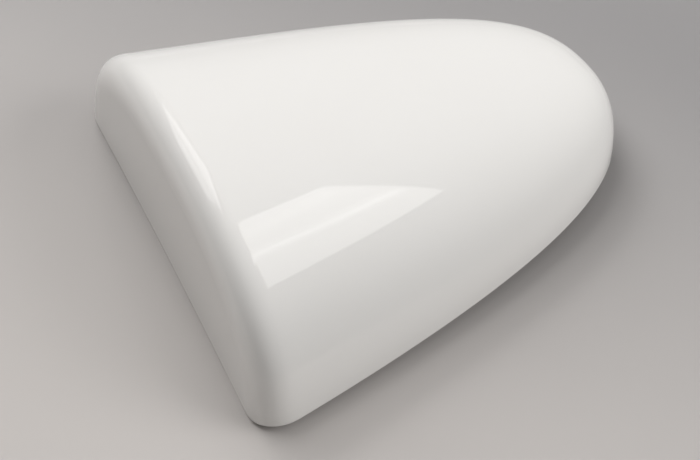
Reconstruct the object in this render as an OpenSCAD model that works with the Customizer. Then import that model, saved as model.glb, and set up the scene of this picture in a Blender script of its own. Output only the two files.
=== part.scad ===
// Rear seat cowl of a sports motorbike, moulded in one piece.
// An arched shell narrows from a D shaped front wall to a rounded tail. Under the skin it carries
// stiffening ribs, four screw bosses and two hook feet, all moulded with it.
// X runs from the front wall to the tail, Y across the bike, Z up. The origin lies on the floor,
// half way along the shell and in its plane of symmetry.

/* [Plan outline] */
// Width of the plan outline at its front, before the corners are rolled
shell_w = 290; // [270:1:310]
// Length from the front wall to the tip of the tail
shell_l = 296; // [280:1:320]
// Inward slope of the sides where they leave the front
plan_taper = 0.147; // [0.09:0.001:0.19]
// Distance ahead of the tail tip at which the sides turn in
plan_turn = 49; // [35:1:80]
// Half width of the blunt end of the tail
tail_half_w = 68; // [55:0.5:85]

/* [Side profile] */
// Height of the crown line at the front wall, before the edge is rolled
crown_h = 82.5; // [74:0.5:94]
// Downward slope of the crown line where it leaves the front
crown_fall = 0.096; // [0.06:0.002:0.13]
// Distance ahead of the tail tip at which the crown line turns down
crown_turn = 17; // [12:1:50]
// How upright the tail stands above its lower edge
tail_rise = 46; // [38:1:54]
// Clearance under the lower edge behind the front corners
edge_front = 4; // [3:0.5:9]
// Distance behind the wall over which the lower edge climbs to that clearance
edge_climb = 12; // [6:1:20]
// Clearance under the lower edge at the tail
edge_tail = 16.5; // [12:0.5:22]

/* [Arch section] */
// Share of the arch height over which the flank stays steep
flank_rise = 0.58; // [0.45:0.01:0.65]
// Share of the half width over which the crown stays flat
crown_full = 0.77; // [0.62:0.01:0.82]
// Inward lean of the flank
flank_lean = 0.1; // [0:0.01:0.16]

/* [Front wall] */
// Radius of the rolled edge between the front wall and the crown
roll_r = 20; // [15:0.5:25]
// Radius of the roll at the lower front corners
corner_r = 24; // [16:0.5:28]
// Squareness of the roll, 2 being a circular arc
roll_power = 2.3; // [2:0.05:2.5]
// Depth of the shallow hollow across the front wall
wall_hollow = 1.5; // [0:0.1:3]
// Backward rake of the front wall
wall_rake = 0.1; // [0.04:0.005:0.12]
// Distance behind the wall over which rake and hollow fade out
rake_reach = 120; // [90:1:150]

/* [Moulding] */
// Wall thickness of the shell
skin_t = 3; // [2.4:0.1:3.6]
// Thickness of the ribs
rib_t = 2; // [1.6:0.1:2.4]
// Depth of the ribs below the skin
rib_deep = 8; // [5:0.5:10]
// Number of cross ribs from the front bosses to the rear ones
cross_ribs = 3; // [2:1:5]

/* [Screw bosses] */
// Distance of the front bosses behind the front wall
boss_front = 75; // [68:1:85]
// Distance of the rear bosses ahead of the hook feet
boss_to_foot = 41; // [32:1:50]
// Spacing of the bosses across the bike
boss_across = 100; // [80:1:110]
// Height of the boss faces above the floor
boss_face_z = 34; // [28:1:40]
// Diameter of the bosses
boss_d = 11; // [9:0.5:13]
// Diameter of the pilot bores
pilot_d = 4.5; // [3.5:0.1:5.5]
// Depth of the pilot bores
pilot_deep = 18; // [14:0.5:20]
// Reach of the webs beside each boss
web_reach = 13; // [9:0.5:16]
// Height of the webs beside each boss, below the skin
web_deep = 22; // [16:1:26]

/* [Hook feet] */
// Distance of the hook feet ahead of the tail tip
foot_to_tail = 70; // [62:1:78]
// Spacing of the two hook feet across the bike
foot_across = 76; // [60:1:84]
// Width of a hook foot
foot_w = 18; // [14:0.5:22]
// Thickness of a hook foot
foot_t = 4; // [3:0.1:5]
// Reach of the toe towards the tail
toe_reach = 26; // [18:1:30]
// Bevel at the end of the toe
toe_bevel = 1.5; // [0.5:0.1:2]
// Reach of the stiffening web inside the angle of a hook foot
foot_web = 16; // [10:1:18]

/* [Hidden] */

// Facets of the shell: steps round the roll, along the body, up each flank, across each wall half
SKIN_STEPS = [8, 34, 20, 6];
// The trimming surfaces for the ribs follow the same shape in coarser steps
TRIM_STEPS = [4, 17, 10, 3];
// How closely the roll keeps the lower edge level: the higher, the nearer to the edge it lets go
edge_level = 8;
bore_fn = 48;

half_w = shell_w / 2;
roll_reach = max(roll_r, corner_r);
foot_x = shell_l - foot_to_tail;
boss_rear = foot_x - boss_to_foot;
boss_places = [
    for (x = [boss_front, boss_rear], side = [-1, 1])
        [x, side * boss_across / 2]
];
// Height at which the trimmed upper part of a hook foot meets its free lower part
foot_split = edge_tail + 2 * foot_t;
plan_reach = shell_l - plan_turn;
crown_reach = shell_l - crown_turn;
plan_curve = [
    [0, half_w],
    [plan_reach, half_w - plan_taper * plan_reach],
    [shell_l, tail_half_w],
    [shell_l, 0]
];
crown_curve = [
    [0, crown_h],
    [crown_reach, crown_h - crown_fall * crown_reach],
    [shell_l, edge_tail + tail_rise],
    [shell_l, edge_tail]
];

// Point of a cubic curve with four control points
function curve(p, t) =
    let (s = 1 - t)
    s * s * s * p[0] + 3 * s * s * t * p[1] + 3 * s * t * t * p[2] + t * t * t * p[3];

// Unit tangent of such a curve
function curve_dir(p, t) =
    let (s = 1 - t, d = s * s * (p[1] - p[0]) + 2 * s * t * (p[2] - p[1]) + t * t * (p[3] - p[2]))
    d / norm(d);

// Parameter at which a curve passes the station x, found by halving the interval
function curve_at(p, x, low = 0, high = 1, left = 30) =
    let (mid = (low + high) / 2)
    left == 0 ? mid
    : curve(p, mid)[0] < x ? curve_at(p, x, mid, high, left - 1)
    : curve_at(p, x, low, mid, left - 1);

function ramp(x) = let (c = min(max(x, 0), 1)) c * c * (3 - 2 * c);

// Height of the lower edge: on the floor at the front wall, clear of it round the corners
function edge_z(x) =
    edge_front * ramp(sqrt(max(x, 0) / edge_climb)) + (edge_tail - edge_front) * pow(x / shell_l, 1.5);

// Half section across the shell at a station, from the lower edge up to the crown line
function section(x) =
    let (
        w = curve(plan_curve, curve_at(plan_curve, x))[1],
        z = edge_z(x),
        top = curve(crown_curve, curve_at(crown_curve, x))[1],
        rise = flank_rise * (top - z)
    )
    [[w, z], [w - flank_lean * rise, z + rise], [crown_full * w, top], [0, top]];

// Rake and hollow of the front wall, fading out behind it
function raked(p) =
    let (
        fade = pow(max(1 - p[0] / rake_reach, 0), 2),
        hollow = wall_hollow * (1 - pow(p[1] / half_w, 2))
    )
    [p[0] + fade * (wall_rake * p[2] + hollow), p[1], p[2]];

// How far the roll draws the skin in at a station, v running from the lower edge to the crown
function roll_inset(x, v) =
    let (
        r = roll_r + (corner_r - roll_r) * pow(1 - v, 2),
        u = max(1 - x / r, 0)
    )
    r * (1 - pow(1 - pow(u, roll_power), 1 / roll_power));

// Stations along the shell: closer where the roll and the tail turn in
function roll_stations(n) = [
    for (k = [0 : n])
        roll_reach * (1 - pow(sin(90 * (1 - k / n)), 2 / roll_power))
];
function body_stations(n) =
    let (start = curve_at(plan_curve, roll_reach))
    [for (k = [1 : n - 1]) curve(plan_curve, start + (1 - start) * k / n)[0]];

// One row of skin points over the arch, from the near lower edge to the far one
function skin_row(x, m) =
    let (s = section(x))
    [
        for (j = [0 : 2 * m])
            let (
                side = j < m ? -1 : 1,
                v = 1 - abs(j - m) / m,
                inset = roll_inset(x, v),
                q = curve(s, v),
                d = curve_dir(s, v),
                y = max(q[0] - inset * d[1], 0),
                z = q[1] + inset * d[0] * (1 - pow(1 - v, edge_level))
            )
            raked([x, j == m ? 0 : side * y, z])
    ];

// Height of the outer skin above a point behind the roll, found by halving the interval
function skin_z(x, y) =
    let (s = section(x))
    curve(s, flank_at(s, abs(y)))[1];
function flank_at(s, y, low = 0, high = 1, left = 30) =
    let (mid = (low + high) / 2)
    left == 0 ? mid
    : curve(s, mid)[0] > y ? flank_at(s, y, mid, high, left - 1)
    : flank_at(s, y, low, mid, left - 1);

function skin_rows(steps) = [
    for (x = concat(roll_stations(steps[0]), body_stations(steps[1])))
        skin_row(x, steps[2])
];

// Outward unit normals of the rows, from neighbouring points; the first row faces forward
function skin_normal(rows, i, j) =
    let (
        last = len(rows) - 1,
        cols = len(rows[0]) - 1,
        along = (i == last ? [shell_l, 0, edge_tail] : rows[i + 1][j]) - rows[i - 1][j],
        over = rows[i][min(j + 1, cols)] - rows[i][max(j - 1, 0)],
        n = cross(along, over)
    )
    n / norm(n);

// Level outward unit normal of the lower edge, side being -1 for the near edge
function edge_normal(rows, i, j, side) =
    let (
        last = len(rows) - 1,
        along = (i == last ? [shell_l, 0, edge_tail] : rows[i + 1][j]) - rows[i - 1][j],
        n = side * [-along[1], along[0], 0]
    )
    n / norm(n);

// Point of the arch at a depth below the skin; along the lower edge it keeps the edge's height
function sunk_point(rows, i, j, depth) =
    let (last = len(rows[0]) - 1, p = rows[i][j])
    i == 0 ? p + [depth, 0, 0]
    : j == 0 ? p - depth * edge_normal(rows, i, j, -1)
    : j == last ? p - depth * edge_normal(rows, i, j, 1)
    : p - depth * skin_normal(rows, i, j);

// All points of the surface that lies at a depth below the skin. They come in the order:
// arch rows, tip of the tail, inner points of the front wall from its foot to its top.
function surface_points(steps, depth) =
    let (
        rows = skin_rows(steps),
        m = steps[2],
        k = steps[3]
    )
    concat(
        [
            for (i = [0 : len(rows) - 1], j = [0 : 2 * m])
                sunk_point(rows, i, j, depth)
        ],
        [[shell_l - depth, 0, edge_tail]],
        [
            for (j = [0 : m - 1], c = [1 : 2 * k - 1])
                let (p = rows[0][j], y = p[1] * (1 - c / k), flat = [0, y, p[2]])
                raked(flat) + [depth, 0, 0]
        ]
    );

// Number of points in such a surface, and the place of a point in it
function surface_count(steps) =
    (steps[0] + steps[1]) * (2 * steps[2] + 1) + 1 + steps[2] * (2 * steps[3] - 1);
function arch_at(steps, i, j) =
    let (rows = steps[0] + steps[1], cols = 2 * steps[2] + 1)
    i >= rows ? rows * cols : i * cols + j;
function wall_at(steps, j, c) =
    let (rows = steps[0] + steps[1], m = steps[2], k = steps[3])
    j == m ? arch_at(steps, 0, m)
    : c == 0 ? arch_at(steps, 0, j)
    : c == 2 * k ? arch_at(steps, 0, 2 * m - j)
    : rows * (2 * m + 1) + 1 + j * (2 * k - 1) + c - 1;

// Triangles of the surface, facing outward
function surface_faces(steps) =
    let (rows = steps[0] + steps[1], m = steps[2], k = steps[3])
    concat(
        [
            for (i = [0 : rows - 1], j = [0 : 2 * m - 1])
                [arch_at(steps, i, j), arch_at(steps, i, j + 1), arch_at(steps, i + 1, j)]
        ],
        [
            for (i = [0 : rows - 2], j = [0 : 2 * m - 1])
                [arch_at(steps, i, j + 1), arch_at(steps, i + 1, j + 1), arch_at(steps, i + 1, j)]
        ],
        [
            for (j = [0 : m - 1], c = [0 : 2 * k - 1])
                [wall_at(steps, j, c), wall_at(steps, j, c + 1), wall_at(steps, j + 1, c + 1)]
        ],
        [
            for (j = [0 : m - 2], c = [0 : 2 * k - 1])
                [wall_at(steps, j, c), wall_at(steps, j + 1, c + 1), wall_at(steps, j + 1, c)]
        ]
    );

// Loop of the lower edge: near side to the tail, far side back, then the foot of the wall
function edge_loop(steps) =
    let (rows = steps[0] + steps[1], m = steps[2], k = steps[3])
    concat(
        [for (i = [0 : rows]) arch_at(steps, i, 0)],
        [for (i = [rows - 1 : -1 : 0]) arch_at(steps, i, 2 * m)],
        [for (c = [2 * k - 1 : -1 : 1]) wall_at(steps, 0, c)]
    );

function turned(faces, shift) = [for (f = faces) [f[0] + shift, f[2] + shift, f[1] + shift]];

// The skin: outer surface, inner surface and the rim between their lower edges
module skin() {
    n = surface_count(SKIN_STEPS);
    faces = surface_faces(SKIN_STEPS);
    loop = edge_loop(SKIN_STEPS);
    rim = [
        for (a = [0 : len(loop) - 1])
            let (p = loop[a], q = loop[(a + 1) % len(loop)])
            each [[p, q, q + n], [p, q + n, p + n]]
    ];
    polyhedron(
        concat(surface_points(SKIN_STEPS, 0), surface_points(SKIN_STEPS, skin_t)),
        concat(faces, turned(faces, n), rim)
    );
}

// Solid below the surface at a depth, closed by a fan from its lower edge to a point under it
module below_skin(depth, apex_z = 0) {
    n = surface_count(TRIM_STEPS);
    loop = edge_loop(TRIM_STEPS);
    floor_fan = [
        for (a = [0 : len(loop) - 1])
            [loop[a], loop[(a + 1) % len(loop)], n]
    ];
    polyhedron(
        concat(surface_points(TRIM_STEPS, depth), [[shell_l / 2, 0, apex_z]]),
        concat(surface_faces(TRIM_STEPS), floor_fan)
    );
}

// Upright plate across the bike at a station
module cross_plate(x) {
    translate([x - rib_t / 2, -half_w, 0])
        cube([rib_t, shell_w, crown_h]);
}

// Grid of shallow ribs that follows the skin and runs down the inside of the front wall
module ribs() {
    difference() {
        union() {
            for (k = [0 : cross_ribs - 1])
                cross_plate(boss_front + (boss_rear - boss_front) * k / (cross_ribs - 1));
            for (side = [-1, 1])
                translate([0, side * boss_across / 2 - rib_t / 2, 0])
                    cube([foot_x, rib_t, crown_h]);
        }
        below_skin(skin_t + rib_deep, -crown_h);
    }
}

// Boss with tapering webs on four sides
module boss(x, y) {
    translate([x, y, boss_face_z])
        cylinder(d = boss_d, h = crown_h, $fn = bore_fn);
    for (turn = [0, 90])
        translate([x, y, skin_z(x, y) - skin_t])
            rotate([90, 0, turn])
                translate([0, 0, -rib_t / 2])
                    linear_extrude(rib_t)
                        polygon([
                            [-boss_d / 2 - web_reach, 0],
                            [-boss_d / 2, -web_deep],
                            [boss_d / 2, -web_deep],
                            [boss_d / 2 + web_reach, 0],
                            [boss_d / 2 + web_reach, crown_h],
                            [-boss_d / 2 - web_reach, crown_h]
                        ]);
}

// Blind pilot bore from the face of a boss upward
module pilot(x, y) {
    translate([x, y, boss_face_z - 1])
        cylinder(d = pilot_d, h = pilot_deep + 1, $fn = bore_fn);
}

// Side view of a hook foot: stem, toe towards the tail and bevelled tip
module foot_profile(top) {
    polygon([
        [0, 0],
        [foot_t + toe_reach - toe_bevel, 0],
        [foot_t + toe_reach, toe_bevel],
        [foot_t + toe_reach, foot_t],
        [foot_t, foot_t],
        [foot_t, top],
        [0, top]
    ]);
}

// Web in the angle between stem and toe
module foot_web_profile(top) {
    polygon([
        [0, 0],
        [foot_t + foot_web, 0],
        [foot_t + foot_web, foot_t],
        [foot_t + foot_web / 2, top],
        [0, top]
    ]);
}

module upright(width) {
    rotate([90, 0, 0])
        translate([0, 0, -width / 2])
            linear_extrude(width)
                children();
}

module hook_foot(y, top) {
    translate([foot_x, y, 0]) {
        upright(foot_w)
            foot_profile(top);
        upright(rib_t)
            foot_web_profile(top);
    }
}

// What stands on the inside of the skin, trimmed half way through it
module inner_features() {
    intersection() {
        union() {
            ribs();
            for (p = boss_places)
                boss(p[0], p[1]);
            for (side = [-1, 1])
                hook_foot(side * foot_across / 2, crown_h);
        }
        below_skin(skin_t / 2);
    }
}

module cowl_shell() {
    color("white")
        translate([-shell_l / 2, 0, 0])
            difference() {
                union() {
                    skin();
                    inner_features();
                    for (side = [-1, 1])
                        hook_foot(side * foot_across / 2, foot_split);
                }
                for (p = boss_places)
                    pilot(p[0], p[1]);
            }
}

cowl_shell();
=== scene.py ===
"""Looks of a motorbike seat cowl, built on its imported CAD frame.

The cowl is one glossy white moulding: an arched skin with a D shaped front wall, and on its
underside ribs, screw bosses and two hook feet. Lengths are in metres and angles in degrees.
The floor lies at z = 0 and +X runs from the front wall to the tail.
"""

import logging
import math
from dataclasses import dataclass, field
from enum import Enum

import bpy
import numpy as np
from mathutils import Matrix, Vector

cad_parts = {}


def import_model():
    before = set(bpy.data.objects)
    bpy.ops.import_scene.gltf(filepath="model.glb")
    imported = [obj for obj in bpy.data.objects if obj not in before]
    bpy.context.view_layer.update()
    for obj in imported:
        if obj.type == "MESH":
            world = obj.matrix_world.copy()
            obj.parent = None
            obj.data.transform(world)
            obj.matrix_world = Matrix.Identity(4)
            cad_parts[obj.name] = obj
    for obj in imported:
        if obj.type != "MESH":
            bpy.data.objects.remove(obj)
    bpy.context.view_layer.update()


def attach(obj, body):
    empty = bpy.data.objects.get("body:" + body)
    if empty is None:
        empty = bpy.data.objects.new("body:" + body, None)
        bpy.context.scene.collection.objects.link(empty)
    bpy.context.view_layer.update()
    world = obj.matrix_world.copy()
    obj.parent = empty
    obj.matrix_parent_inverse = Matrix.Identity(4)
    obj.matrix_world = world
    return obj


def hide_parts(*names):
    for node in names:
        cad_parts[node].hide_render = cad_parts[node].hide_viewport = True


LOG = logging.getLogger("seat_cowl")
NODE = "cowl_shell"
MM = 0.001
HALVINGS = 40
SHARP_ANGLE = 32.0
SHARPEST_CORNER = 0.5
PLASTIC_IOR = 1.5
CLOUD_SIZE = 60 * MM
CLOUD_DETAIL = 3.0
PEEL_DETAIL = 1.0
BLACK = (0.0, 0.0, 0.0, 1.0)


class Side(Enum):
    """Side of the bike, as the sign of Y."""

    NEAR = -1
    FAR = 1


class Along(Enum):
    """Direction in which a plate runs."""

    BIKE = 0
    ACROSS = 1


# Form of the shell


def cubic(points: np.ndarray, t: np.ndarray) -> np.ndarray:
    """Points of a cubic curve.

    Args:
        points: Four control points, as rows.
        t: Parameters from 0 to 1.

    Returns:
        One row of coordinates for each parameter.
    """
    t = np.atleast_1d(np.asarray(t, float))[:, None]
    s = 1.0 - t
    return s**3 * points[0] + 3 * s * s * t * points[1] + 3 * s * t * t * points[2] + t**3 * points[3]


def cubic_direction(points: np.ndarray, t: np.ndarray) -> np.ndarray:
    """Unit tangents of a cubic curve.

    Args:
        points: Four control points, as rows.
        t: Parameters from 0 to 1.

    Returns:
        One unit vector for each parameter.
    """
    t = np.atleast_1d(np.asarray(t, float))[:, None]
    s = 1.0 - t
    first, second, third = (points[k + 1] - points[k] for k in range(3))
    way = s * s * first + 2 * s * t * second + t * t * third
    return way / np.linalg.norm(way, axis=1)[:, None]


@dataclass(frozen=True)
class ShellForm:
    """Driving sizes of the shell, the same as those of the solid, and the curves they give."""

    plan_width: float = 290 * MM
    length: float = 296 * MM
    plan_taper: float = 0.147
    plan_turn: float = 49 * MM
    tail_half_width: float = 68 * MM
    crown_height: float = 82.5 * MM
    crown_fall: float = 0.096
    crown_turn: float = 17 * MM
    tail_rise: float = 46 * MM
    edge_front: float = 4 * MM
    edge_climb: float = 12 * MM
    edge_tail: float = 16.5 * MM
    edge_level: float = 8.0
    edge_sweep: float = 1.5
    flank_rise: float = 0.58
    crown_full: float = 0.77
    flank_lean: float = 0.1
    roll_radius: float = 20 * MM
    corner_radius: float = 24 * MM
    roll_power: float = 2.3
    wall_hollow: float = 1.5 * MM
    wall_rake: float = 0.1
    rake_reach: float = 120 * MM
    thickness: float = 3 * MM

    @property
    def half_width(self) -> float:
        """Half of the plan width."""
        return self.plan_width / 2

    def plan_curve(self) -> np.ndarray:
        """Works out the plan outline.

        Returns:
            Its control points, as x and y.
        """
        reach = self.length - self.plan_turn
        return np.array([
            (0.0, self.half_width),
            (reach, self.half_width - self.plan_taper * reach),
            (self.length, self.tail_half_width),
            (self.length, 0.0),
        ])

    def crown_curve(self) -> np.ndarray:
        """Works out the crown line.

        Returns:
            Its control points, as x and z.
        """
        reach = self.length - self.crown_turn
        return np.array([
            (0.0, self.crown_height),
            (reach, self.crown_height - self.crown_fall * reach),
            (self.length, self.edge_tail + self.tail_rise),
            (self.length, self.edge_tail),
        ])

    def parameter(self, points: np.ndarray, x: float) -> float:
        """Parameter at which a curve passes a station, by halving the interval.

        Args:
            points: Control points of a curve that runs along X.
            x: Station behind the front wall.

        Returns:
            The parameter.
        """
        low, high = 0.0, 1.0
        for _ in range(HALVINGS):
            middle = (low + high) / 2
            if cubic(points, middle)[0, 0] < x:
                low = middle
            else:
                high = middle
        return (low + high) / 2

    def edge_height(self, x: float) -> float:
        """Height of the lower edge above the floor.

        Args:
            x: Station behind the front wall.

        Returns:
            The height.
        """
        climb = math.sqrt(min(max(x / self.edge_climb, 0.0), 1.0))
        ramp = climb * climb * (3 - 2 * climb)
        sweep = (x / self.length) ** self.edge_sweep
        return self.edge_front * ramp + (self.edge_tail - self.edge_front) * sweep

    def section(self, x: float) -> np.ndarray:
        """Works out the half section at a station.

        Args:
            x: Station behind the front wall.

        Returns:
            Its control points, as y and z from the lower edge up.
        """
        plan = self.plan_curve()
        crown = self.crown_curve()
        wide = cubic(plan, self.parameter(plan, x))[0, 1]
        top = cubic(crown, self.parameter(crown, x))[0, 1]
        foot = self.edge_height(x)
        rise = self.flank_rise * (top - foot)
        return np.array([
            (wide, foot),
            (wide - self.flank_lean * rise, foot + rise),
            (self.crown_full * wide, top),
            (0.0, top),
        ])

    def raked(self, points: np.ndarray) -> np.ndarray:
        """Adds the rake and hollow of the front wall, which fade out behind it.

        Args:
            points: Points of the skin with an upright, flat front wall.

        Returns:
            The moved points.
        """
        moved = np.array(points, float)
        fade = np.clip(1 - moved[..., 0] / self.rake_reach, 0, None) ** 2
        hollow = self.wall_hollow * (1 - (moved[..., 1] / self.half_width) ** 2)
        moved[..., 0] += fade * (self.wall_rake * moved[..., 2] + hollow)
        return moved

    def roll_inset(self, x: float, v: np.ndarray) -> np.ndarray:
        """How far the roll draws the skin in.

        Args:
            x: Station behind the front wall.
            v: Parameters from the lower edge, 0, to the crown, 1.

        Returns:
            One inset for each parameter.
        """
        radius = self.roll_radius + (self.corner_radius - self.roll_radius) * (1 - v) ** 2
        left = np.clip(1 - x / radius, 0, 1)
        return radius * (1 - (1 - left**self.roll_power) ** (1 / self.roll_power))

    def half_row(self, x: float, v: np.ndarray) -> np.ndarray:
        """Points of one half section of the skin, without rake.

        Args:
            x: Station behind the front wall.
            v: Parameters from the lower edge, 0, to the crown, 1.

        Returns:
            Points with y from 0 outward.
        """
        control = self.section(x)
        flat = cubic(control, v)
        way = cubic_direction(control, v)
        inset = self.roll_inset(x, v)
        level = (1 - v) ** self.edge_level
        y = np.maximum(flat[:, 0] - inset * way[:, 1], 0)
        z = flat[:, 1] + inset * way[:, 0] * (1 - level)
        return np.stack([np.full(len(y), x), y, z], axis=1)

    @property
    def roll_reach(self) -> float:
        """Station at which the roll ends everywhere."""
        return max(self.roll_radius, self.corner_radius)

    def stations(self, roll: int, body: int) -> list[float]:
        """Stations along the shell, closer where the roll and the tail turn in.

        Args:
            roll: Steps round the roll.
            body: Steps behind the roll.

        Returns:
            Distances behind the front wall.
        """
        turns = np.radians(90 * (1 - np.arange(roll + 1) / roll))
        ahead = self.roll_reach * (1 - np.sin(turns) ** (2 / self.roll_power))
        plan = self.plan_curve()
        start = self.parameter(plan, self.roll_reach)
        marks = start + (1 - start) * np.arange(1, body) / body
        return [float(x) for x in ahead] + [float(p[0]) for p in cubic(plan, marks)]


@dataclass(frozen=True)
class Steps:
    """How finely the skin is divided."""

    roll: int
    body: int
    flank: int
    wall: int


@dataclass
class Skin:
    """Grids of skin points over the arch and the front wall, in the frame's coordinates."""

    form: ShellForm
    steps: Steps
    arch: np.ndarray = field(init=False)
    normals: np.ndarray = field(init=False)
    wall: np.ndarray = field(init=False)

    def __post_init__(self) -> None:
        """Works out the grids."""
        v = np.linspace(0, 1, self.steps.flank + 1)
        rows = []
        for x in self.form.stations(self.steps.roll, self.steps.body):
            half = self.form.half_row(x, v)
            half[-1, 1] = 0.0
            near = half * (1, -1, 1)
            rows.append(np.concatenate([near, half[-2::-1]]))
        self.arch = self.form.raked(np.array(rows))
        self.normals = self._normals()
        self.wall = self._wall()

    @property
    def tip(self) -> np.ndarray:
        """Tip of the tail."""
        return np.array([self.form.length, 0.0, self.form.edge_tail])

    def _normals(self) -> np.ndarray:
        """Works out normals from neighbouring points.

        Returns:
            Outward unit normals of the arch.
        """
        tip_row = np.broadcast_to(self.tip, self.arch[:1].shape)
        after = np.concatenate([self.arch[1:], tip_row])
        before = np.concatenate([self.arch[:1], self.arch[:-1]])
        along = after - before
        over = np.empty_like(self.arch)
        over[:, 1:-1] = self.arch[:, 2:] - self.arch[:, :-2]
        over[:, 0] = self.arch[:, 1] - self.arch[:, 0]
        over[:, -1] = self.arch[:, -1] - self.arch[:, -2]
        normal = np.cross(along, over)
        normal[0] = (-1.0, 0.0, 0.0)
        return normal / np.linalg.norm(normal, axis=2)[..., None]

    def _edge_normals(self, column: int) -> np.ndarray:
        """Works out level normals of a lower edge.

        Args:
            column: Column of the edge in the arch, the near one being 0.

        Returns:
            Outward unit normals.
        """
        edge = self.arch[:, column]
        after = np.concatenate([edge[1:], self.tip[None]])
        before = np.concatenate([edge[:1], edge[:-1]])
        along = after - before
        sign = 1.0 if column == 0 else -1.0
        normal = np.stack([along[:, 1], -along[:, 0], np.zeros(len(edge))], axis=1) * sign
        normal[0] = (-1.0, 0.0, 0.0)
        return normal / np.linalg.norm(normal, axis=1)[:, None]

    def _wall(self) -> np.ndarray:
        """Works out the front wall between its two edges.

        Returns:
            Points, one row for each height.
        """
        flank, half = self.steps.flank, self.steps.wall
        share = 1 - np.arange(1, 2 * half) / half
        near = self.arch[0, :flank]
        flat = np.zeros((flank, len(share), 3))
        flat[..., 1] = near[:, 1:2] * share
        flat[..., 2] = near[:, 2:3]
        return self.form.raked(flat)

    def points(self, depth: float, lift: float) -> np.ndarray:
        """All points of the surface at a depth below the skin.

        Args:
            depth: Distance below the outer surface.
            lift: How far the points of the lower edge are raised, to leave room for its rounding.

        Returns:
            Arch points row by row, the tip, then the inner points of the wall.
        """
        arch = self.arch - depth * self.normals
        arch[:, 0] = self.arch[:, 0] - depth * self._edge_normals(0)
        arch[:, -1] = self.arch[:, -1] - depth * self._edge_normals(-1)
        arch[:, (0, -1), 2] += lift
        tip = self.tip + (-depth, 0.0, lift)
        wall = self.wall + (depth, 0.0, 0.0)
        wall[0, :, 2] += lift
        return np.concatenate([arch.reshape(-1, 3), tip[None], wall.reshape(-1, 3)])

    def arch_index(self, row: int, column: int) -> int:
        """Place of an arch point in points(); a row past the last is the tip."""
        rows, columns = self.arch.shape[:2]
        return rows * columns if row >= rows else row * columns + column

    def wall_index(self, row: int, column: int) -> int:
        """Place of a wall point in points(), its edges being those of the arch.

        Args:
            row: Row from the foot up.
            column: Column from the near edge to the far one.

        Returns:
            The place.
        """
        flank, half = self.steps.flank, self.steps.wall
        if row == flank:
            return self.arch_index(0, flank)
        if column == 0:
            return self.arch_index(0, row)
        if column == 2 * half:
            return self.arch_index(0, 2 * flank - row)
        rows, columns = self.arch.shape[:2]
        return rows * columns + 1 + row * (2 * half - 1) + column - 1

    def faces(self) -> list[tuple[int, ...]]:
        """Lists the faces of the surface.

        Returns:
            Places of their corners, counterclockwise as seen from outside.
        """
        found = []
        rows, columns = self.arch.shape[:2]
        at, wall_at = self.arch_index, self.wall_index
        for i in range(rows):
            for j in range(columns - 1):
                ring = (at(i, j), at(i + 1, j), at(i + 1, j + 1), at(i, j + 1))
                found.append(ring if i < rows - 1 else (ring[0], ring[1], ring[3]))
        for j in range(self.steps.flank):
            for c in range(2 * self.steps.wall):
                ring = (wall_at(j, c), wall_at(j + 1, c), wall_at(j + 1, c + 1), wall_at(j, c + 1))
                found.append(ring if j < self.steps.flank - 1 else (ring[0], ring[1], ring[3]))
        return found

    def slice_across(self, x: float) -> np.ndarray:
        """Line in which a plane across the bike cuts the skin.

        Args:
            x: Distance of the plane behind the front wall.

        Returns:
            Points from the near lower edge over the crown to the far one.
        """
        line = []
        for column in range(self.arch.shape[1]):
            run = self.arch[:, column]
            line.append((x, np.interp(x, run[:, 0], run[:, 1]), np.interp(x, run[:, 0], run[:, 2])))
        return np.array(line)

    def slice_along(self, y: float, end: float) -> np.ndarray:
        """Line in which an upright plane along the bike cuts the skin.

        Args:
            y: Distance of the plane from the middle.
            end: Distance behind the front wall at which the line stops.

        Returns:
            Points from the foot of the front wall over the roll and backward.
        """
        middle = self.steps.flank
        line = []
        for row in self.arch:
            half = row[middle:]
            line.append([np.interp(abs(y), half[:, 1], half[:, k]) for k in (0, 2)])
        body = np.array(line)
        last = [end, np.interp(end, body[:, 0], body[:, 1])]
        body = np.concatenate([body[body[:, 0] < end], [last]])
        heights = np.linspace(0, body[0, 1], self.steps.wall, endpoint=False)
        foot = self.form.raked(np.array([(0.0, y, z) for z in heights]))
        over = np.stack([body[:, 0], np.full(len(body), y), body[:, 1]], axis=1)
        return np.concatenate([foot, over])

    def height(self, x: float, y: float) -> float:
        """Height of the outer skin above a point of the floor."""
        line = self.slice_across(x)[self.steps.flank :]
        return float(np.interp(abs(y), line[:, 1], line[:, 2]))

    def edge_loop(self) -> list[int]:
        """Lists the points of the lower edge.

        Returns:
            Places of the near side, the tip, the far side, then the foot of the wall.
        """
        rows, columns = self.arch.shape[:2]
        near = [self.arch_index(i, 0) for i in range(rows + 1)]
        far = [self.arch_index(i, columns - 1) for i in range(rows - 1, -1, -1)]
        foot = [self.wall_index(0, c) for c in range(2 * self.steps.wall - 1, 0, -1)]
        return near + far + foot


# Finishes


@dataclass(frozen=True)
class Waviness:
    """Fine unevenness of a moulded or sprayed surface."""

    size: float
    strength: float
    distance: float


@dataclass(frozen=True)
class GlossWhite:
    """Mirror smooth white of the outside."""

    name: str = "gloss_white"
    colour: tuple[float, float, float, float] = (0.865, 0.85, 0.828, 1.0)
    shade: tuple[float, float, float, float] = (0.85, 0.832, 0.806, 1.0)
    roughness: tuple[float, float] = (0.03, 0.05)
    coat: float = 0.5
    coat_roughness: float = 0.02
    peel: Waviness = Waviness(size=1.6 * MM, strength=0.05, distance=0.02 * MM)


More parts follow.
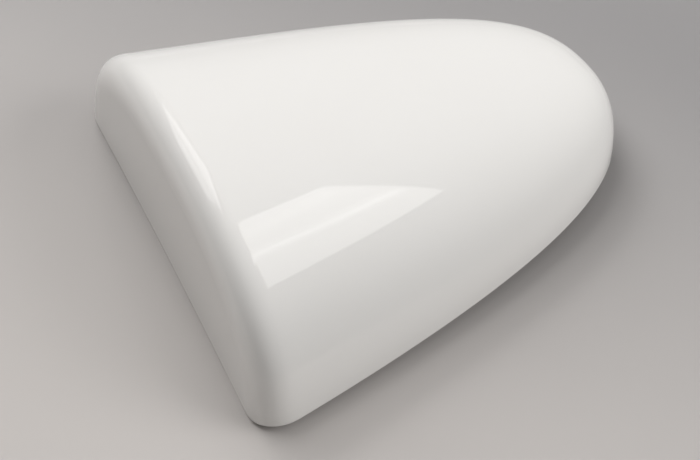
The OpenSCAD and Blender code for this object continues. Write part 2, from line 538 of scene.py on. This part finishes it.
@dataclass(frozen=True)
class MouldedInside:
    """Satin white of the inside, as it leaves the mould."""

    name: str = "moulded_inside"
    colour: tuple[float, float, float, float] = (0.78, 0.77, 0.745, 1.0)
    shade: tuple[float, float, float, float] = (0.72, 0.705, 0.675, 1.0)
    roughness: tuple[float, float] = (0.34, 0.5)
    coat: float = 0.0
    coat_roughness: float = 0.1
    peel: Waviness = Waviness(size=0.6 * MM, strength=0.25, distance=0.05 * MM)


@dataclass(frozen=True)
class StudioFloor:
    """Pale matt floor with painted shade, whose tone falls off gently towards the far right."""

    name: str = "studio_floor"
    # colour is the warm, lit tone at the near left; shade is the painted shade at the far right
    colour: tuple[float, float, float, float] = (0.59, 0.557, 0.535, 1.0)
    shade: tuple[float, float, float, float] = (0.308, 0.298, 0.298, 1.0)
    away: tuple[float, float, float] = (0.8, 0.6, 0.0)
    painted_shade_start: float = -0.27
    painted_shade_end: float = 0.27
    drift: float = 0.05
    cloud_scale: float = 6.0
    roughness: float = 0.75


def surface_group() -> bpy.types.NodeTree:
    """Node group that gives a moulded surface its colour drift, roughness drift and waviness.

    Returns:
        The group, with its inputs and outputs named.
    """
    group = bpy.data.node_groups.new("moulded_surface", "ShaderNodeTree")
    socket = group.interface.new_socket
    for name in ("Colour", "Shade"):
        socket(name, in_out="INPUT", socket_type="NodeSocketColor")
    for name in ("Cloud Size", "Rough Low", "Rough High", "Peel Size", "Peel Strength", "Peel Depth"):
        socket(name, in_out="INPUT", socket_type="NodeSocketFloat")
    socket("Colour", in_out="OUTPUT", socket_type="NodeSocketColor")
    socket("Roughness", in_out="OUTPUT", socket_type="NodeSocketFloat")
    socket("Normal", in_out="OUTPUT", socket_type="NodeSocketVector")
    nodes, links = group.nodes, group.links
    source = nodes.new("NodeGroupInput")
    target = nodes.new("NodeGroupOutput")
    place = nodes.new("ShaderNodeTexCoord")

    def inverse(name: str) -> bpy.types.NodeSocket:
        """Turns a size in metres into a texture scale.

        Args:
            name: Input of the group that holds the size.

        Returns:
            Socket of the scale.
        """
        node = nodes.new("ShaderNodeMath")
        node.operation = "DIVIDE"
        node.inputs[0].default_value = 1.0
        links.new(source.outputs[name], node.inputs[1])
        return node.outputs[0]

    cloud = nodes.new("ShaderNodeTexNoise")
    cloud.inputs["Detail"].default_value = CLOUD_DETAIL
    links.new(place.outputs["Object"], cloud.inputs["Vector"])
    links.new(inverse("Cloud Size"), cloud.inputs["Scale"])
    mix = nodes.new("ShaderNodeMix")
    mix.data_type = "RGBA"
    links.new(cloud.outputs["Fac"], mix.inputs["Factor"])
    links.new(source.outputs["Colour"], mix.inputs["A"])
    links.new(source.outputs["Shade"], mix.inputs["B"])
    links.new(mix.outputs["Result"], target.inputs["Colour"])
    rough = nodes.new("ShaderNodeMapRange")
    links.new(cloud.outputs["Fac"], rough.inputs["Value"])
    links.new(source.outputs["Rough Low"], rough.inputs["To Min"])
    links.new(source.outputs["Rough High"], rough.inputs["To Max"])
    links.new(rough.outputs["Result"], target.inputs["Roughness"])
    peel = nodes.new("ShaderNodeTexNoise")
    peel.inputs["Detail"].default_value = PEEL_DETAIL
    links.new(place.outputs["Object"], peel.inputs["Vector"])
    links.new(inverse("Peel Size"), peel.inputs["Scale"])
    bump = nodes.new("ShaderNodeBump")
    links.new(source.outputs["Peel Strength"], bump.inputs["Strength"])
    links.new(source.outputs["Peel Depth"], bump.inputs["Distance"])
    links.new(peel.outputs["Fac"], bump.inputs["Height"])
    links.new(bump.outputs["Normal"], target.inputs["Normal"])
    return group


def moulded_material(
    finish: GlossWhite | MouldedInside, group: bpy.types.NodeTree
) -> bpy.types.Material:
    """Material of a moulded surface.

    Args:
        finish: The finish that it shows.
        group: The surface node group.

    Returns:
        The material.
    """
    material = bpy.data.materials.new(finish.name)
    material.use_nodes = True
    nodes, links = material.node_tree.nodes, material.node_tree.links
    shader = nodes["Principled BSDF"]
    surface = nodes.new("ShaderNodeGroup")
    surface.node_tree = group
    surface.inputs["Colour"].default_value = finish.colour
    surface.inputs["Shade"].default_value = finish.shade
    surface.inputs["Cloud Size"].default_value = CLOUD_SIZE
    surface.inputs["Rough Low"].default_value = finish.roughness[0]
    surface.inputs["Rough High"].default_value = finish.roughness[1]
    surface.inputs["Peel Size"].default_value = finish.peel.size
    surface.inputs["Peel Strength"].default_value = finish.peel.strength
    surface.inputs["Peel Depth"].default_value = finish.peel.distance
    links.new(surface.outputs["Colour"], shader.inputs["Base Color"])
    links.new(surface.outputs["Roughness"], shader.inputs["Roughness"])
    links.new(surface.outputs["Normal"], shader.inputs["Normal"])
    shader.inputs["IOR"].default_value = PLASTIC_IOR
    shader.inputs["Coat Weight"].default_value = finish.coat
    shader.inputs["Coat Roughness"].default_value = finish.coat_roughness
    return material


def floor_material(finish: StudioFloor) -> bpy.types.Material:
    """Material of the floor, with its painted shade falling off towards the far right and a faint
    drift of tone.

    Args:
        finish: The floor's finish.

    Returns:
        The material.
    """
    material = bpy.data.materials.new(finish.name)
    material.use_nodes = True
    nodes, links = material.node_tree.nodes, material.node_tree.links
    shader = nodes["Principled BSDF"]
    place = nodes.new("ShaderNodeTexCoord")
    along = nodes.new("ShaderNodeVectorMath")
    along.operation = "DOT_PRODUCT"
    along.inputs[1].default_value = finish.away
    links.new(place.outputs["Object"], along.inputs[0])
    cloud = nodes.new("ShaderNodeTexNoise")
    cloud.inputs["Scale"].default_value = finish.cloud_scale
    links.new(place.outputs["Object"], cloud.inputs["Vector"])
    drift = nodes.new("ShaderNodeMath")
    drift.operation = "MULTIPLY_ADD"
    drift.inputs[1].default_value = finish.drift
    links.new(cloud.outputs["Fac"], drift.inputs[0])
    links.new(along.outputs["Value"], drift.inputs[2])
    # painted shade: the floor's colour darkens along the fall-off direction
    fall = nodes.new("ShaderNodeMapRange")
    fall.interpolation_type = "SMOOTHSTEP"
    fall.inputs["From Min"].default_value = finish.painted_shade_start
    fall.inputs["From Max"].default_value = finish.painted_shade_end
    links.new(drift.outputs["Value"], fall.inputs["Value"])
    mix = nodes.new("ShaderNodeMix")
    mix.data_type = "RGBA"
    mix.inputs["A"].default_value = finish.colour
    mix.inputs["B"].default_value = finish.shade
    links.new(fall.outputs["Result"], mix.inputs["Factor"])
    links.new(mix.outputs["Result"], shader.inputs["Base Color"])
    shader.inputs["Roughness"].default_value = finish.roughness
    return material


# Pieces


def mesh_object(
    name: str,
    points: np.ndarray,
    faces: list[tuple[int, ...]],
    materials: list[bpy.types.Material],
    shift: float,
) -> bpy.types.Object:
    """Mesh object from points behind the front wall, moved into the frame.

    Args:
        name: Name of the piece.
        points: Its points, with x counted from the front wall.
        faces: Its faces.
        materials: Its materials, the first being used all over.
        shift: Distance from the front wall back to the frame's origin.

    Returns:
        The object, linked to the scene and shaded smooth.
    """
    mesh = bpy.data.meshes.new(name)
    mesh.from_pydata((points - (shift, 0.0, 0.0)).tolist(), [], faces)
    mesh.update()
    for material in materials:
        mesh.materials.append(material)
    mesh.shade_smooth()
    piece = bpy.data.objects.new(name, mesh)
    bpy.context.scene.collection.objects.link(piece)
    return piece


def dress(piece: bpy.types.Object) -> None:
    """Makes a piece ride on the part and stand for its solid.

    Args:
        piece: The piece.
    """
    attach(piece, "root")
    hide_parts(NODE)
    LOG.info("%s: %d faces", piece.name, len(piece.data.polygons))


@dataclass
class CowlSkin:
    """The arched skin with its front wall and rounded lower rim."""

    form: ShellForm
    outside: bpy.types.Material
    inside: bpy.types.Material
    steps: Steps = Steps(roll=20, body=110, flank=60, wall=30)
    rim_round: float = 0.8 * MM
    rim_steps: int = 4

    def build(self) -> bpy.types.Object:
        """Builds the skin.

        Returns:
            The skin as one closed mesh.
        """
        skin = Skin(self.form, self.steps)
        outer = skin.points(0.0, self.rim_round)
        inner = skin.points(self.form.thickness, self.rim_round)
        faces = skin.faces()
        count = len(outer)
        loop = skin.edge_loop()
        rim_points, rim_faces = self._rim(outer, inner, loop, 2 * count)
        all_faces = faces + [tuple(count + i for i in reversed(f)) for f in faces] + rim_faces
        points = np.concatenate([outer, inner, rim_points])
        materials = [self.outside, self.inside]
        piece = mesh_object("cowl_skin", points, all_faces, materials, self.form.length / 2)
        slots = np.zeros(len(all_faces), dtype=np.int32)
        slots[len(faces) : 2 * len(faces)] = 1
        piece.data.polygons.foreach_set("material_index", slots)
        dress(piece)
        return piece

    def _rim(
        self, outer: np.ndarray, inner: np.ndarray, loop: list[int], start: int
    ) -> tuple[np.ndarray, list[tuple[int, ...]]]:
        """Rounded rim between the lower edges of both surfaces.

        Args:
            outer: Points of the outer surface.
            inner: Points of the inner surface.
            loop: Places of the lower edge's points.
            start: Place of the first rim point in the whole mesh.

        Returns:
            The rim's own points and its faces.
        """
        a, b = outer[loop], inner[loop]
        inward = b - a
        inward /= np.linalg.norm(inward, axis=1)[:, None]
        down = np.array([0.0, 0.0, -1.0])
        turns = np.radians(np.linspace(0, 90, self.rim_steps + 1)[1:])
        r = self.rim_round
        rings = [a + inward * r * (1 - math.cos(t)) + down * r * math.sin(t) for t in turns]
        rings += [b - inward * r * (1 - math.cos(t)) + down * r * math.sin(t) for t in turns[::-1]]
        points = np.concatenate(rings)
        n = len(loop)
        places = [loop] + [[start + k * n + i for i in range(n)] for k in range(len(rings))]
        places += [[len(outer) + i for i in loop]]
        faces = []
        for upper, lower in zip(places, places[1:]):
            for i in range(n):
                j = (i + 1) % n
                faces.append((upper[i], lower[i], lower[j], upper[j]))
        return points, faces


@dataclass(frozen=True)
class UndersideForm:
    """Sizes of what the skin carries on its inside.

    They are those of the solid. Only the fillet, the draft and the softened edges are finer detail
    of the looks.
    """

    rib_thickness: float = 2 * MM
    rib_depth: float = 8 * MM
    rib_fillet: float = 0.8 * MM
    fillet_hollow: float = 0.3
    rib_draft: float = 0.12 * MM
    cross_ribs: int = 3
    boss_front: float = 75 * MM
    boss_to_foot: float = 41 * MM
    boss_across: float = 100 * MM
    boss_face: float = 34 * MM
    boss_diameter: float = 11 * MM
    pilot_diameter: float = 4.5 * MM
    pilot_depth: float = 18 * MM
    web_reach: float = 13 * MM
    web_depth: float = 22 * MM
    foot_to_tail: float = 70 * MM
    foot_across: float = 76 * MM
    foot_width: float = 18 * MM
    foot_thickness: float = 4 * MM
    toe_reach: float = 26 * MM
    toe_bevel: float = 1.5 * MM
    foot_web: float = 16 * MM
    edge_round: float = 0.35 * MM

    def foot_station(self, form: ShellForm) -> float:
        """Distance of the hook feet behind the front wall."""
        return form.length - self.foot_to_tail

    def boss_stations(self, form: ShellForm) -> tuple[float, float]:
        """Distances of the front and rear bosses behind the front wall."""
        return self.boss_front, self.foot_station(form) - self.boss_to_foot


@dataclass
class Moulding:
    """Mesh under construction, made of lofts between rings of points."""

    points: list[np.ndarray] = field(default_factory=list)
    faces: list[tuple[int, ...]] = field(default_factory=list)
    count: int = 0

    def loft(self, rings: list[np.ndarray]) -> None:
        """Adds a skin over rings of equally many points, and caps at both ends.

        Args:
            rings: Rings of points, one after the other along the loft.
        """
        n = len(rings[0])
        start = self.count
        self.points.extend(rings)
        self.count += n * len(rings)
        for k in range(len(rings) - 1):
            for i in range(n):
                j = (i + 1) % n
                low, high = start + k * n, start + (k + 1) * n
                self.faces.append((low + i, low + j, high + j, high + i))
        last = start + (len(rings) - 1) * n
        self.faces.append(tuple(start + i for i in reversed(range(n))))
        self.faces.append(tuple(last + i for i in range(n)))

    def build(self, name: str, form: ShellForm, material: bpy.types.Material) -> bpy.types.Object:
        """Makes the piece, with hard edges kept sharp.

        Args:
            name: Name of the piece.
            form: The shell's form, whose length gives the frame's origin.
            material: The material of the piece.

        Returns:
            The piece.
        """
        piece = mesh_object(name, np.concatenate(self.points), self.faces, [material], form.length / 2)
        piece.data.set_sharp_from_angle(angle=math.radians(SHARP_ANGLE))
        dress(piece)
        return piece


def inset_polygon(polygon: np.ndarray, distance: float) -> np.ndarray:
    """Polygon drawn in by a distance on every side.

    Args:
        polygon: Corners in counterclockwise order, as rows of two coordinates.
        distance: How far each side moves inward.

    Returns:
        The corners of the smaller polygon.
    """
    ahead = np.roll(polygon, -1, axis=0) - polygon
    ahead /= np.linalg.norm(ahead, axis=1)[:, None]
    behind = np.roll(ahead, 1, axis=0)
    inward_ahead = np.stack([-ahead[:, 1], ahead[:, 0]], axis=1)
    inward_behind = np.stack([-behind[:, 1], behind[:, 0]], axis=1)
    way = inward_ahead + inward_behind
    reach = 2 / np.maximum((way**2).sum(axis=1), SHARPEST_CORNER)
    return polygon + distance * reach[:, None] * way


@dataclass
class Ribs:
    """Grid of shallow ribs that follows the skin, filleted into it, and runs down the front wall."""

    skin: Skin
    under: UndersideForm
    material: bpy.types.Material

    def build(self) -> bpy.types.Object:
        """Builds the ribs.

        Returns:
            The ribs as one mesh.
        """
        grid = Moulding()
        front, rear = self.under.boss_stations(self.skin.form)
        for x in np.linspace(front, rear, self.under.cross_ribs):
            grid.loft(self._rings(self.skin.slice_across(float(x)), Along.ACROSS))
        end = self.under.foot_station(self.skin.form)
        for side in Side:
            line = self.skin.slice_along(side.value * self.under.boss_across / 2, end)
            grid.loft(self._rings(line, Along.BIKE))
        return grid.build("ribs", self.skin.form, self.material)

    def _profile(self) -> list[tuple[float, float]]:
        """Works out the cross section of a rib.

        Returns:
            Offsets from its middle plane and depths below the skin.
        """
        form, under = self.skin.form, self.under
        half, root = under.rib_thickness / 2, form.thickness
        low, soft, flare = root + under.rib_depth, under.edge_round, under.rib_fillet
        one_side = [
            (half + flare, root / 2),
            (half + flare, root),
            (half + flare * under.fillet_hollow, root + flare * under.fillet_hollow),
            (half, root + flare),
            (half - under.rib_draft, low - soft),
            (half - under.rib_draft - soft, low),
        ]
        return one_side + [(-a, b) for a, b in reversed(one_side)]

    def _rings(self, line: np.ndarray, along: Along) -> list[np.ndarray]:
        """Rings of a rib along a line of the skin, ending just above its lower edge.

        Args:
            line: Points of the outer skin in the rib's middle plane.
            along: Direction in which the rib runs.

        Returns:
            The rings.
        """
        side = np.array([0.0, 1.0, 0.0]) if along is Along.BIKE else np.array([-1.0, 0.0, 0.0])
        line = line.copy()
        line[0, 2] += self.under.edge_round
        if along is Along.ACROSS:
            line[-1, 2] += self.under.edge_round
        way = np.gradient(line, axis=0)
        way /= np.linalg.norm(way, axis=1)[:, None]
        inward = np.cross(side, way)
        inward[0, 2] = 0.0
        if along is Along.ACROSS:
            inward[-1, 2] = 0.0
        else:
            inward[-1] = (0.0, 0.0, -1.0)
        inward /= np.linalg.norm(inward, axis=1)[:, None]
        profile = self._profile()
        return [
            np.array([point + offset * side + depth * turn for offset, depth in profile])
            for point, turn in zip(line, inward)
        ]


@dataclass
class Boss:
    """Screw boss with a blind pilot bore and tapering webs on four sides."""

    skin: Skin
    under: UndersideForm
    material: bpy.types.Material
    x: float
    side: Side
    segments: int = 48
    bore_end: float = 0.1

    @property
    def y(self) -> float:
        """Place of the boss across the bike."""
        return self.side.value * self.under.boss_across / 2

    def build(self, name: str) -> bpy.types.Object:
        """Builds the boss.

        Args:
            name: Name of the piece.

        Returns:
            The boss with its webs as one mesh.
        """
        body = Moulding()
        self._post(body)
        for along in Along:
            for way in (-1, 1):
                self._web(body, along, way)
        return body.build(name, self.skin.form, self.material)

    def _middle(self, x: float, y: float) -> float:
        """Height half way through the skin above a point."""
        return self.skin.height(x, y) - self.skin.form.thickness / 2

    def _ring(self, radius: float, height: float | None, drop: float = 0.0) -> np.ndarray:
        """Ring of points round the axis of the boss.

        Args:
            radius: Radius of the ring.
            height: Height of the ring, None for one that follows the skin.
            drop: Distance of such a ring below the middle of the skin.

        Returns:
            The points.
        """
        ring = []
        for k in range(self.segments):
            turn = 2 * math.pi * k / self.segments
            x, y = self.x + radius * math.cos(turn), self.y + radius * math.sin(turn)
            ring.append((x, y, self._middle(x, y) - drop if height is None else height))
        return np.array(ring)

    def _post(self, body: Moulding) -> None:
        """Adds the post and its bore.

        Args:
            body: The mesh they are added to.
        """
        under, soft = self.under, self.under.edge_round
        outer, bore = under.boss_diameter / 2, under.pilot_diameter / 2
        face, flare = under.boss_face, under.rib_fillet
        root = self.skin.form.thickness / 2
        body.loft([
            self._ring(bore * self.bore_end, face + under.pilot_depth),
            self._ring(bore, face + under.pilot_depth),
            self._ring(bore, face + soft),
            self._ring(bore + soft, face),
            self._ring(outer - soft, face),
            self._ring(outer, face + soft),
            self._ring(outer, None, root + flare),
            self._ring(outer + flare * under.fillet_hollow, None, root + flare * under.fillet_hollow),
            self._ring(outer + flare, None, root),
            self._ring(outer + flare, None, 0.0),
        ])

    def _web(self, body: Moulding, along: Along, way: int, steps: int = 8) -> None:
        """Adds one web, which tapers away from the post.

        Args:
            body: The mesh it is added to.
            along: Direction in which the web runs.
            way: Sign of that direction.
            steps: Steps along the web.
        """
        under, soft = self.under, self.under.edge_round
        half, post = under.rib_thickness / 2, under.boss_diameter / 2
        root = self.skin.height(self.x, self.y) - self.skin.form.thickness
        ahead = np.array([way, 0.0]) if along is Along.BIKE else np.array([0.0, way])
        aside = np.array([-ahead[1], ahead[0]])
        rings = []
        for k in range(steps + 1):
            out = under.web_reach * k / steps
            x, y = np.array([self.x, self.y]) + (post - soft + out) * ahead
            top = self._middle(x, y)
            low = min(root - under.web_depth * (1 - k / steps), top - soft)
            foot = [(half, low + soft), (half - soft, low), (soft - half, low), (-half, low + soft)]
            ring = [(-half, top), (half, top)] + foot
            rings.append(np.array([(x + a * aside[0], y + a * aside[1], z) for a, z in ring]))
        body.loft(rings)


@dataclass
class HookFoot:
    """Hook foot: a stem down from the skin, a toe towards the tail and a web in their angle."""

    skin: Skin
    under: UndersideForm
    material: bpy.types.Material
    side: Side

    def build(self) -> bpy.types.Object:
        """Builds the foot.

        Returns:
            The foot as one mesh.
        """
        under = self.under
        body = Moulding()
        thick, toe, bevel = under.foot_thickness, under.toe_reach, under.toe_bevel
        foot = [
            (0, 0),
            (thick + toe - bevel, 0),
            (thick + toe, bevel),
            (thick + toe, thick),
            (thick, thick),
            (thick, None),
            (0, None),
        ]
        inside = thick / 2
        web = [
            (inside, inside),
            (thick + under.foot_web, inside),
            (thick + under.foot_web, thick),
            (thick + under.foot_web / 2, None),
            (inside, None),
        ]
        self._plate(body, foot, under.foot_width, under.edge_round)
        self._plate(body, web, under.rib_thickness, under.edge_round)
        return body.build(f"hook_foot_{self.side.name.lower()}", self.skin.form, self.material)

    def _plate(
        self, body: Moulding, outline: list[tuple[float, float | None]], width: float, soft: float
    ) -> None:
        """Adds a plate with a side outline, softened along its edges.

        Args:
            body: The mesh it is added to.
            outline: Corners as distances behind the stem's front and heights, None being the skin.
            width: Width of the plate across the bike.
            soft: Size of the softening.
        """
        start = self.under.foot_station(self.skin.form)
        middle = self.side.value * self.under.foot_across / 2
        half = width / 2
        cuts = [(-half, soft), (-half + soft, 0.0), (0.0, 0.0), (half - soft, 0.0), (half, soft)]
        rings = []
        for offset, drawn in cuts:
            y = middle + offset
            ring = []
            for x, z in outline:
                top = self.skin.height(start + x, y) - self.skin.form.thickness / 2
                ring.append((x, top if z is None else z))
            flat = inset_polygon(np.array(ring, float), drawn) if drawn else np.array(ring, float)
            rings.append(np.array([(start + x, y, z) for x, z in flat]))
        body.loft(rings[::-1])


# Staging


@dataclass(frozen=True)
class PhotoCamera:
    """Camera that sees the cowl from above and from its front left.

    Frame, focal length and the height of the horizon are in pixels, the sensor is in millimetres.
    """

    frame_width: float = 700.0
    frame_height: float = 460.0
    focal: float = 1109.8
    horizon: float = -990.1
    roll: float = 1.5
    heading: float = 27.777
    distance: float = 663.4 * MM
    target_behind_front: float = 107.0 * MM
    target_side: float = -32.0 * MM
    sensor: float = 36.0
    clip_start: float = 10 * MM

    def axes(self) -> tuple[Vector, Vector, Vector]:
        """Works out how the camera is turned.

        Returns:
            Its right, up and forward directions.
        """
        pitch = math.atan((self.frame_height / 2 - self.horizon) / self.focal)
        heading, roll = math.radians(self.heading), math.radians(self.roll)
        forward = Vector((
            math.sin(heading) * math.cos(pitch),
            math.cos(heading) * math.cos(pitch),
            -math.sin(pitch),
        ))
        level = Vector((math.cos(heading), -math.sin(heading), 0.0))
        upright = level.cross(forward)
        right = level * math.cos(roll) + upright * math.sin(roll)
        up = upright * math.cos(roll) - level * math.sin(roll)
        return right, up, forward

    def build(self, form: ShellForm) -> bpy.types.Object:
        """Places the camera.

        Args:
            form: The shell's form, whose length gives the frame's origin.

        Returns:
            The camera, which is made the scene's camera.
        """
        right, up, forward = self.axes()
        target = Vector((self.target_behind_front - form.length / 2, self.target_side, 0.0))
        place = target - forward * self.distance
        data = bpy.data.cameras.new("camera")
        data.sensor_width = self.sensor
        data.lens = self.focal / self.frame_width * self.sensor
        data.clip_start = self.clip_start
        camera = bpy.data.objects.new("camera", data)
        turn = Matrix((right, up, -forward)).transposed().to_4x4()
        camera.matrix_world = Matrix.Translation(place) @ turn
        bpy.context.scene.collection.objects.link(camera)
        bpy.context.scene.camera = camera
        return camera


@dataclass(frozen=True)
class SoftLamp:
    """Rectangular lamp that looks at a point and is too diffuse to be mirrored in gloss."""

    name: str
    place: tuple[float, float, float]
    width: float
    height: float
    power: float
    aim: tuple[float, float, float] = (0.0, 0.0, 0.0)
    colour: tuple[float, float, float] = (1.0, 1.0, 1.0)

    def build(self) -> bpy.types.Object:
        """Adds the lamp to the scene.

        Returns:
            The lamp.
        """
        data = bpy.data.lights.new(self.name, "AREA")
        data.shape = "RECTANGLE"
        data.size = self.width
        data.size_y = self.height
        data.energy = self.power
        data.color = self.colour
        lamp = bpy.data.objects.new(self.name, data)
        lamp.location = self.place
        way = Vector(self.aim) - Vector(self.place)
        lamp.rotation_euler = way.to_track_quat("-Z", "Y").to_euler()
        lamp.visible_glossy = False
        bpy.context.scene.collection.objects.link(lamp)
        return lamp


@dataclass(frozen=True)
class Pane:
    """Bright level pane overhead, given in plan, whose mirror image is a highlight on the gloss."""

    name: str
    corners: tuple[tuple[float, float], ...]
    level: float = 1.65
    height: float = 1.5
    colour: tuple[float, float, float, float] = (1.0, 0.995, 0.98, 1.0)

    def build(self) -> bpy.types.Object:
        """Adds the pane to the scene.

        Returns:
            The pane.
        """
        mesh = bpy.data.meshes.new(self.name)
        ring = [(x, y, self.height) for x, y in self.corners]
        mesh.from_pydata(ring, [], [tuple(range(len(ring)))])
        material = bpy.data.materials.new(self.name)
        material.use_nodes = True
        shader = material.node_tree.nodes["Principled BSDF"]
        shader.inputs["Base Color"].default_value = BLACK
        shader.inputs["Emission Color"].default_value = self.colour
        shader.inputs["Emission Strength"].default_value = self.level
        mesh.materials.append(material)
        pane = bpy.data.objects.new(self.name, mesh)
        bpy.context.scene.collection.objects.link(pane)
        return pane


@dataclass
class Studio:
    """Pale floor, soft lamps, bright panes and even surrounding light."""

    floor_size: float = 8.0
    world_level: float = 0.22
    world_colour: tuple[float, float, float, float] = (1.0, 0.995, 0.985, 1.0)
    lamps: tuple[SoftLamp, ...] = (
        SoftLamp("overhead", (-0.25, 0.9, 1.6), width=1.2, height=1.0, power=14.6),
        SoftLamp("far_side", (0.0, 1.5, 1.1), width=1.2, height=1.2, power=15.8),
        SoftLamp("near_side", (1.4, -1.0, 1.0), width=1.2, height=1.2, power=19.5),
    )
    panes: tuple[Pane, ...] = (
        Pane("window", ((0.40, 0.34), (0.49, 0.48), (0.75, 0.64), (1.04, 0.0), (0.58, -0.49))),
        Pane(
            "window_gap_glow",
            ((0.37, -0.08), (0.37, 0.05), (0.84, 0.34), (0.93, 0.22)),
            level=1.95,
            height=1.495,
        ),
        Pane(
            "window_gap",
            ((0.38, -0.035), (0.38, 0.005), (0.87, 0.295), (0.91, 0.255)),
            level=2.6,
            height=1.49,
        ),
        Pane(
            "window_fold",
            ((0.55, 0.30), (0.53, 0.38), (0.73, 0.57), (0.78, 0.52)),
            level=1.9,
            height=1.49,
        ),
        Pane(
            "side_window_right",
            (
                (-0.14, 0.61),
                (-0.21, 0.66),
                (-0.21, 1.9),
                (0.0, 2.1),
                (0.22, 1.55),
                (0.42, 1.1),
                (0.02, 0.72),
            ),
        ),
        Pane(
            "side_window_left",
            ((-0.29, 0.68), (-0.82, 0.9), (-0.85, 1.55), (-0.47, 1.7), (-0.29, 1.85)),
        ),
    )

    def build(self) -> None:
        """Adds floor, lamps, panes and world to the scene."""
        half = self.floor_size / 2
        square = [(-half, -half, 0.0), (half, -half, 0.0), (half, half, 0.0), (-half, half, 0.0)]
        mesh = bpy.data.meshes.new("studio_floor")
        mesh.from_pydata(square, [], [(0, 1, 2, 3)])
        mesh.materials.append(floor_material(StudioFloor()))
        floor = bpy.data.objects.new("studio_floor", mesh)
        bpy.context.scene.collection.objects.link(floor)
        for item in self.lamps + self.panes:
            item.build()
        world = bpy.data.worlds.new("studio_world")
        world.use_nodes = True
        back = world.node_tree.nodes["Background"]
        back.inputs["Color"].default_value = self.world_colour
        back.inputs["Strength"].default_value = self.world_level
        bpy.context.scene.world = world


def build_underside(form: ShellForm, material: bpy.types.Material) -> None:
    """Builds ribs, bosses and hook feet under the skin.

    Args:
        form: The shell's form.
        material: The finish of the inside.
    """
    skin = Skin(form, Steps(roll=10, body=60, flank=40, wall=12))
    under = UndersideForm()
    Ribs(skin, under, material).build()
    for place, x in zip(("front", "rear"), under.boss_stations(form)):
        for side in Side:
            Boss(skin, under, material, x, side).build(f"boss_{place}_{side.name.lower()}")
    for side in Side:
        HookFoot(skin, under, material, side).build()


def corners(box: tuple) -> list[list[float]]:
    """A box as plain lists of its lowest and highest corners."""
    return [[float(v) for v in corner] for corner in box]


def main() -> None:
    """Loads the frame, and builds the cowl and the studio."""
    logging.basicConfig(level=logging.INFO, format="%(name)s %(message)s")
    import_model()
    form = ShellForm()
    group = surface_group()
    outside = moulded_material(GlossWhite(), group)
    inside = moulded_material(MouldedInside(), group)
    CowlSkin(form, outside, inside).build()
    build_underside(form, inside)
    Studio().build()
    PhotoCamera().build(form)
    bpy.context.scene.view_settings.view_transform = "Standard"


if __name__ == "__main__":
    main()
